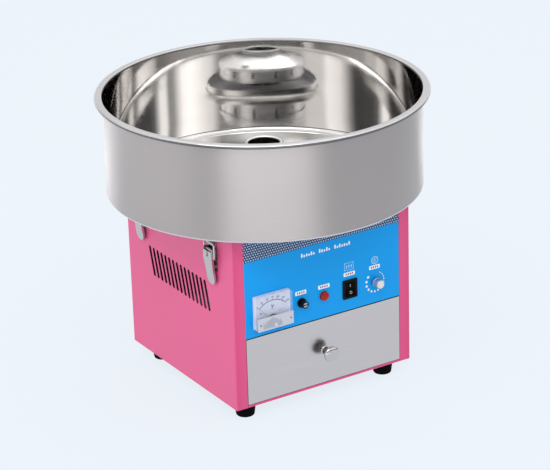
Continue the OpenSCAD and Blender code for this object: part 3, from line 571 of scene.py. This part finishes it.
# the rounded foot of the wall wears the brighter rim steel: a painted highlight line along the bottom
# edge
add(arc(WALL + SHEET - 0.003, bowl_low + 0.003, 0.003, 0, -90, 6), RIM)
add([(0.2, bowl_low), (0.15, bowl_low), (HOLE_R, bowl_low), (HOLE_R, floor_z + COLLAR)], OUTSIDE)
verts, faces, rows = lathe_faces(profile, 256, closed=True)
faces = [f[::-1] for f in faces]
bowl = make("bowl_shell", verts, faces, "bowl",
            ["bowl_outside", "bowl_inside", "bowl_rim", "bowl_rim_shaded"],
            [zones[(row + 1) % len(zones)] for row in rows], sharp=50)
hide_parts("bowl")

# ------------------------------------------------------------ drawer knob

knob_low, knob_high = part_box("drawer_knob")
knob_z = (knob_low.z + knob_high.z) / 2
# radius and height in millimetres, from the foot on the drawer to the middle of the round face
outline = [(0.0, 0.0), (7.4, 0.0), (7.5, 0.5), (7.3, 1.3), (6.2, 1.9), (5.2, 2.8), (4.6, 4.2), (4.4, 6.2),
           (4.5, 8.4), (4.9, 10.4), (5.8, 12.2), (7.6, 13.6), (9.8, 14.6), (11.6, 15.7), (12.6, 17.0),
           (13.0, 18.6), (12.9, 20.0), (12.2, 21.4), (10.8, 22.5), (8.4, 23.3), (5.0, 23.8), (2.0, 24.0),
           (0.0, 24.0)]
profile = [(r * MM, -z * MM) for r, z in outline]
verts, faces, rows = lathe_faces(profile, 72)
verts = [(x, DRAWER_Y + z, knob_z + y) for x, y, z in verts]
NECK, SHOULDER = 4, 13                  # rows of the outline between which the knob is darker
knob = make("pull_knob", verts, faces, "drawer", ["knob_chrome", "knob_shade"],
            [1 if NECK <= row < SHOULDER else 0 for row in rows], sharp=60)
mod = knob.modifiers.new("round", "SUBSURF")
mod.levels = mod.render_levels = 1
# the head of the screw that holds the knob, inside the drawer
screw_head = [(0, -0.0024), (0.002, -0.0024), (0.002, -0.0026), (0.0044, -0.0026), (0.0044, -0.0045),
              (0.0036, -0.005), (0.0, -0.005)]
verts, faces, _ = lathe_faces(screw_head, 32)
verts = [(x, DRAWER_Y - z, knob_z + y) for x, y, z in verts]
make("pull_knob_screw", verts, faces, "drawer", ["screw_steel"])
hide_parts("drawer_knob")

# ------------------------------------------------------------ printed marks on the front

# the four name plates: middle across, middle up, width
PLATES = [(-0.0413, 0.1862, 0.020), (0.001, 0.1858, 0.021), (0.0482, 0.1950, 0.021),
          (0.0954, 0.1944, 0.020)]
white = Print(PANEL_Y - SKIN, 0.0001)
red = Print(PANEL_Y - 0.00014, 0.00006)
for x, z, w in PLATES:
    white.bar(x, z, w, 0.0064, r=0.0012)
    for k in range(4):
        red.bar(x - 0.0057 + k * 0.0038, z, 0.0022, 0.003, r=0.0005)
white.done("label_plates", "cabinet", "label_white")
red.done("label_marks", "cabinet", "ink_red")

ink = Print(PANEL_Y - SKIN, 0.00008)
# dots round the speed knob, which get smaller and closer along the turn
DOTS, DOT_RING = 15, 0.0165
BIG_DOT, SMALL_DOT = 0.0043, 0.0015
WIDE_STEP, NARROW_STEP = 27.5, 11.9
angle = 142.0
for i in range(DOTS):
    size = BIG_DOT + (SMALL_DOT - BIG_DOT) * i / (DOTS - 1)
    a = math.radians(angle)
    ink.disc(SPEED_X + DOT_RING * math.cos(a), ROW_Z + DOT_RING * math.sin(a), size / 2)
    angle += WIDE_STEP + (NARROW_STEP - WIDE_STEP) * i / (DOTS - 2)
# a generic row of short upright bars in three groups, in place of a title
BARS = [6, 5, 7]
FIRST_HEIGHT, HEIGHTS = 0.0064, [0.0062, 0.0038, 0.0048, 0.0038]
BAR_W, BAR_STEP, GROUP_GAP, BASE_Z = 0.0027, 0.00435, 0.0064, 0.2432
bar_x = 0.007 - 0.0447
for g, count in enumerate(BARS):
    for k in range(count):
        h = HEIGHTS[(g + k) % 4] if k else FIRST_HEIGHT
        ink.bar(bar_x, BASE_Z + h / 2, BAR_W, h, r=0.0011)
        bar_x += BAR_STEP
    bar_x += GROUP_GAP
ink.done("panel_marks", "cabinet", "ink_white")

signs = Print(PANEL_Y - SKIN, 0.00008)
# heater sign: a frame of short dashes round three upright bars
heat_x, heat_z = 0.0478, 0.2076
for k in range(5):
    for side in (1, -1):
        signs.bar(heat_x - 0.0072 + k * 0.0036, heat_z + side * 0.0058, 0.0022, 0.0012)
for k in range(4):
    for side in (-1, 1):
        signs.bar(heat_x + side * 0.0082, heat_z - 0.0042 + k * 0.0028, 0.0012, 0.0018)
for k in range(3):
    signs.bar(heat_x - 0.0045 + k * 0.0045, heat_z, 0.0018, 0.0056, r=0.0006)
# motor sign: a ring, an open ring and a dot
motor_x, motor_z = 0.096, 0.2058
signs.ring(motor_x, motor_z, 0.0066, 0.0054)
signs.ring(motor_x, motor_z, 0.0040, 0.0031, 20, 320, 20)
signs.disc(motor_x, motor_z, 0.0014)
signs.done("motor_mark", "cabinet", "ink_pale_blue")

# ------------------------------------------------------------ meter dial

dial_low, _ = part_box("meter_dial")
CARD_Y = dial_low.y - 0.00003
PIVOT_X, PIVOT_Z = METER_X, 0.157
SCALE_R, FIGURE_R = 0.033, 0.0385
SCALE_START, TICK_STEP, FIGURE_STEP = 135, 3, 15      # degrees from +X
dial = Print(CARD_Y, 0.00006)
dial.ring(PIVOT_X, PIVOT_Z, SCALE_R + 0.0005, SCALE_R - 0.0004, 45, SCALE_START, 48)
for i in range(31):
    a = math.radians(SCALE_START - TICK_STEP * i)
    long, wide = (0.0016, 0.0004) if i % 5 else (0.003, 0.0009)
    r = SCALE_R + long / 2
    dial.bar(PIVOT_X + r * math.cos(a), PIVOT_Z + r * math.sin(a), long, wide, angle=a)
# a mark like a letter V over a dash, and small marks at both sides
dial.bar(-0.0968, 0.1806, 0.0050, 0.0013, angle=-1.15)
dial.bar(-0.0946, 0.1806, 0.0050, 0.0013, angle=1.15)
dial.bar(-0.0957, 0.1764, 0.0042, 0.0008)
dial.ring(-0.1172, 0.1728, 0.0017, 0.0007, 0, 360, 12)
for k in range(3):
    dial.bar(-0.1135 + k * 0.0032, 0.1716, 0.0018, 0.0005)
    dial.bar(-0.0835 + k * 0.0042, 0.1716, 0.0022, 0.0005)
dial.done("dial_scale", "cabinet", "ink_black")

# the strokes of each figure: a, g, d across from the top; f, b and e, c upright at left and right
FIGURES = {"0": "abcdef", "5": "afgcd", "1": "bc", "2": "abged", "3": "abgcd"}


def figure(target, char, x, z, h, w, t):
    """One figure made of straight strokes, as on a plain printed scale."""
    spots = {"a": (0, h / 2, w, t), "g": (0, 0, w, t), "d": (0, -h / 2, w, t),
             "f": (-w / 2, h / 4, t, h / 2), "b": (w / 2, h / 4, t, h / 2),
             "e": (-w / 2, -h / 4, t, h / 2), "c": (w / 2, -h / 4, t, h / 2)}
    for stroke in FIGURES[char]:
        dx, dz, wide, high = spots[stroke]
        target.bar(x + dx, z + dz, wide, high)


numbers = Print(CARD_Y, 0.00006)
FIGURE_PITCH = 0.0018
for i, text in enumerate(["0", "50", "100", "150", "200", "250", "300"]):
    a = math.radians(SCALE_START - FIGURE_STEP * i)
    cx = PIVOT_X + FIGURE_R * math.cos(a)
    cz = PIVOT_Z + FIGURE_R * math.sin(a) - 0.0004
    for k, char in enumerate(text):
        figure(numbers, char, cx + (k - (len(text) - 1) / 2) * FIGURE_PITCH, cz, 0.0022, 0.0011, 0.00045)
numbers.done("dial_numbers", "cabinet", "ink_black")

arch = Print(dial_low.y - 0.00006, 0.0004)
arch.ring(PIVOT_X, PIVOT_Z, 0.0106, 0.0078, 20, 160, 24)
arch.done("dial_boss", "cabinet", "ink_black")

# ribs and screw heads of the lower cover
cover_low, cover_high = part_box("meter_cover")
cover_mid = (cover_low.x + cover_high.x) / 2
cover_face = PANEL_Y - 0.0135
ribs = Print(cover_face, 0.0004)
RIBS, RIB_FOOT_Z = 17, 0.1497
for k in range(RIBS):
    tall = 0.0165 - 0.0012 * abs(k - RIBS // 2) * (1 if k % 3 else 0.6)
    ribs.bar(cover_mid - 0.0215 + k * 0.002, RIB_FOOT_Z + tall / 2, 0.0008, tall, r=0.0003)
ribs.done("cover_ribs", "cabinet", "rib_plastic")
slots = Print(cover_face - 0.0005 + SKIN, 0.0001)
for side in (-1, 1):
    slots.disc(cover_mid + side * 0.027, 0.1575, 0.0013, 20)
slots.done("cover_screws", "cabinet", "screw_dark")
zero = Print(cover_face - 0.0008 + SKIN, 0.0002)
zero.split_disc(cover_mid, 0.153, 0.0029, 0.9, 18)
zero.done("zero_screw", "cabinet", "dial_card")

# ------------------------------------------------------------ knob face, fuse face, rocker marks

KNOB_BACK_Y, KNOB_LONG, CAP_LONG = -0.1641, 0.0124, 0.012
face = Print(KNOB_BACK_Y - KNOB_LONG + SKIN, 0.0001)
face.disc(SPEED_X, ROW_Z, 0.0061, 32)
face.done("speed_knob_face", "knob", "knob_face")

slotted = Print(PANEL_Y - CAP_LONG + SKIN, 0.00012)
slotted.split_disc(FUSE_X, ROW_Z, 0.0038, 0.0, 16)
slotted.done("fuse_cap_face", "cap", "control_metal")

# a bar and a ring on the two halves of the rocker, laid on its sloping faces
bpy.context.view_layer.update()
rocker = NODES["switch_rocker"]
rocker_low, rocker_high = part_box("switch_rocker")
rocker_mid = (rocker_low.z + rocker_high.z) / 2
rocker_ink = Print(0.0, 0.00006)
rocker_ink.bar(SWITCH_X, rocker_mid + 0.0052, 0.0011, 0.0046, r=0.0004)
rocker_ink.ring(SWITCH_X, rocker_mid - 0.0056, 0.0023, 0.0014, n=24)


def on_rocker(x, y, z):
    """The same place, moved along Y onto the rocker's face; y is kept as a small height."""
    hit, spot, _, _ = rocker.ray_cast((x, -0.3, z), (0, 1, 0))
    return (x, (spot.y if hit else rocker_low.y) + y - 0.00001, z)


rocker_ink.verts = [on_rocker(*v) for v in rocker_ink.verts]
rocker_ink.done("rocker_marks", "rocker", "ink_grey")

# thin black rings round each air slot, painted shade that makes the slots look wider and darker; the
# slots' places and lean follow the CAD
VENT_COUNT, VENT_PITCH, VENT_Z, VENT_LEAN = 15, 0.012, 0.186, math.radians(15.2)
VENT_HALF, VENT_R, SHADE_RING_W = 0.0218, 0.0027, 0.0005
lean_s, lean_c = math.sin(VENT_LEAN), math.cos(VENT_LEAN)
for side, side_name in ((-1, "left"), (1, "right")):
    slot_shade_rings = Print(-SIDE_X, 0.00015)
    for i in range(VENT_COUNT):
        middle = side * (i - (VENT_COUNT - 1) / 2) * VENT_PITCH
        loops = []
        for r in (VENT_R - 0.00005, VENT_R + SHADE_RING_W):
            loop = arc(0, VENT_HALF, r, 0, 180, 10) + arc(0, -VENT_HALF, r, 180, 360, 10)
            loops.append([(middle + lean_c * u + side * lean_s * v,
                           VENT_Z - side * lean_s * u + lean_c * v) for u, v in loop])
        inner, outer = loops
        for j in range(len(inner)):
            k = (j + 1) % len(inner)
            slot_shade_rings.shape([inner[j], outer[j], outer[k], inner[k]])
    slot_shade_rings.verts = [(-side * y, side * x, z) for x, y, z in slot_shade_rings.verts]
    slot_shade_rings.done("vent_shade_ring_" + side_name, "cabinet", "slot_shade_black")

# dark cup inside the head's ring: burnt sugar, and painted shade that darkens the hollow
_, lid_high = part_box("spinner_lid")
cup_top = lid_high.z - 0.003
cup = [(0.0, cup_top - 0.021), (0.012, cup_top - 0.0208), (0.021, cup_top - 0.0195),
       (0.0236, cup_top - 0.0165), (0.0243, cup_top - 0.012), (0.02435, cup_top)]
verts, faces, _ = lathe_faces(cup, 96)
make("sugar_cup", verts, faces, "spinner", ["burnt_and_shaded_steel"], sharp=60)

# ------------------------------------------------------------ camera, floor and light

CAMERA_AT = (-1.778, -2.889, 1.611)
yaw, pitch, roll = math.radians(31.83), math.radians(22.33), math.radians(-1.74)
forward = Vector((math.sin(yaw) * math.cos(pitch), math.cos(yaw) * math.cos(pitch), -math.sin(pitch)))
right = Vector((math.cos(yaw), -math.sin(yaw), 0))
up = right.cross(forward)
right, up = (math.cos(roll) * right + math.sin(roll) * up,
             -math.sin(roll) * right + math.cos(roll) * up)
data = bpy.data.cameras.new("camera")
data.lens = 151.72
data.sensor_width = 36
data.clip_start = 0.05
camera = add_object("camera", data)
camera.matrix_world = Matrix([(right[i], up[i], -forward[i], CAMERA_AT[i]) for i in range(3)]
                             + [(0, 0, 0, 1)])
bpy.context.scene.camera = camera


def floor_look(s, surface):
    """A matt floor that gives off the even pale blue of the photo's background."""
    grain = s.noise(2, detail=3)
    s.put(surface.inputs["Base Color"], s.mix(grain, (0.078, 0.078, 0.078), (0.082, 0.082, 0.082)))
    s.put(surface.inputs["Roughness"], s.span(grain, 0.3, 0.7, 0.85, 0.9))


material("floor", floor_look, Specular_IOR_Level=0.0, Emission_Color=(0.84, 0.90, 0.965),
         Emission_Strength=0.906)
FLOOR_HALF = 14.0
mesh = bpy.data.meshes.new("floor")
mesh.from_pydata([(sx * FLOOR_HALF, sy * FLOOR_HALF, 0)
                  for sx, sy in [(-1, -1), (1, -1), (1, 1), (-1, 1)]], [], [(0, 1, 2, 3)])
mesh.materials.append(MATERIALS["floor"])
floor = add_object("floor", mesh)

WORLD_STRENGTH = 3.0        # the belts' values are divided by this, to keep the ramps' colours below 1
WORLD_TINT = (1, 0.99, 0.98)
world = bpy.data.worlds.new("studio")
bpy.context.scene.world = world
world.use_nodes = True
s = Shader(world.node_tree)
background = s.node("ShaderNodeBackground")
out = s.node("ShaderNodeOutputWorld")
world.node_tree.links.new(background.outputs[0], out.inputs[0])
x, y, height = s.xyz("Generated")
turn = s.math("ADD", s.math("DIVIDE", s.math("ARCTAN2", x, y), 2 * math.pi), 0.5)


def around(stops):
    """A ramp over the compass: degrees from the rear over the right, and brightness."""
    return s.ramp(turn, [((deg + 180) / 360, tuple(v / WORLD_STRENGTH * c for c in WORLD_TINT))
                         for deg, v in stops])


# what the steel mirrors, in four belts from the horizon upwards and a dark patch overhead
ground = around([(-180, 0.8), (-130, 0.9), (-90, 1.2), (-50, 1.2), (-20, 1.0), (30, 1.0), (72, 0.9),
                 (92, 0.25), (150, 0.2), (168, 0.4), (180, 0.8)])
low = around([(-180, 0.1), (-152, 0.12), (-142, 0.25), (-136, 0.9), (-129, 2.1), (-120, 2.1), (-113, 0.6),
              (-105, 0.7), (-98, 1.5), (-90, 2.5), (-78, 2.75), (-64, 2.4), (-42, 1.6), (-30, 0.5),
              (-15, 0.5), (20, 0.8), (88, 0.95), (98, 1.4), (122, 1.5), (131, 2.2), (150, 1.9),
              (159, 1.2), (167, 0.55), (175, 0.15), (180, 0.1)])
middle = around([(-180, 0.5), (-170, 0.7), (-160, 1.2), (-140, 1.0), (-115, 0.6), (-96, 1.0), (-85, 0.45),
                 (-50, 0.4), (-25, 0.7), (10, 0.9), (80, 0.95), (108, 0.7), (124, 0.4), (145, 0.8),
                 (165, 1.4), (180, 0.5)])
high = around([(-180, 1.45), (-140, 1.6), (-100, 1.5), (-85, 1.0), (-30, 0.95), (60, 1.1), (130, 1.1),
               (165, 1.2), (180, 1.45)])
light = s.mix(s.span(height, 0.16, 0.24), ground, low)
light = s.mix(s.span(height, 0.35, 0.39), light, middle)
light = s.mix(s.span(height, 0.48, 0.58), light, high)
light = s.mix(s.span(height, 0.84, 0.94), light, (0.04, 0.04, 0.04))
s.put(background.inputs["Color"], light)
background.inputs["Strength"].default_value = WORLD_STRENGTH


def softbox(name, place, target, size_x, size_y, watts):
    """An area light that the camera does not see; one on the floor lies along its circle."""
    light = bpy.data.lights.new(name, "AREA")
    light.shape = "RECTANGLE"
    light.size = size_x
    light.size_y = size_y
    light.energy = watts
    obj = add_object(name, light)
    obj.location = place
    direction = Vector(target) - Vector(place)
    obj.rotation_euler = direction.to_track_quat("-Z", "Y").to_euler()
    if place[2] < 0.1:
        obj.rotation_euler.z = -math.atan2(place[0], place[1])
    obj.visible_camera = False


# a wide light overhead, a key at the front left, and lamps on the floor that the bowl's wall mirrors
softbox("overhead", (0, 0, 2.6), (0, 0.001, 0), 2.4, 2.4, 15)
softbox("key", (-1.4, -1.48, 2.75), (-0.1, 0.06, 0.35), 3.3, 0.6, 20)
# each lamp's name, its degrees from the rear over the right, its width and its watts
LAMP_RING, LAMP_Z, LAMP_LONG = 1.25, 0.02, 0.7
for name, azimuth, width, watts in [("low_front", -152, 1.3, 7.8), ("low_left", -65, 1.7, 1.8),
                                    ("low_rear", 9, 0.9, 2.6), ("low_right", 54, 0.9, 2.2),
                                    ("low_back", -20, 0.45, 1.1)]:
    x, y = LAMP_RING * math.sin(math.radians(azimuth)), LAMP_RING * math.cos(math.radians(azimuth))
    softbox(name, (x, y, LAMP_Z), (x, y, 1.0), width, LAMP_LONG, watts)
bpy.context.scene.view_settings.view_transform = "Standard"
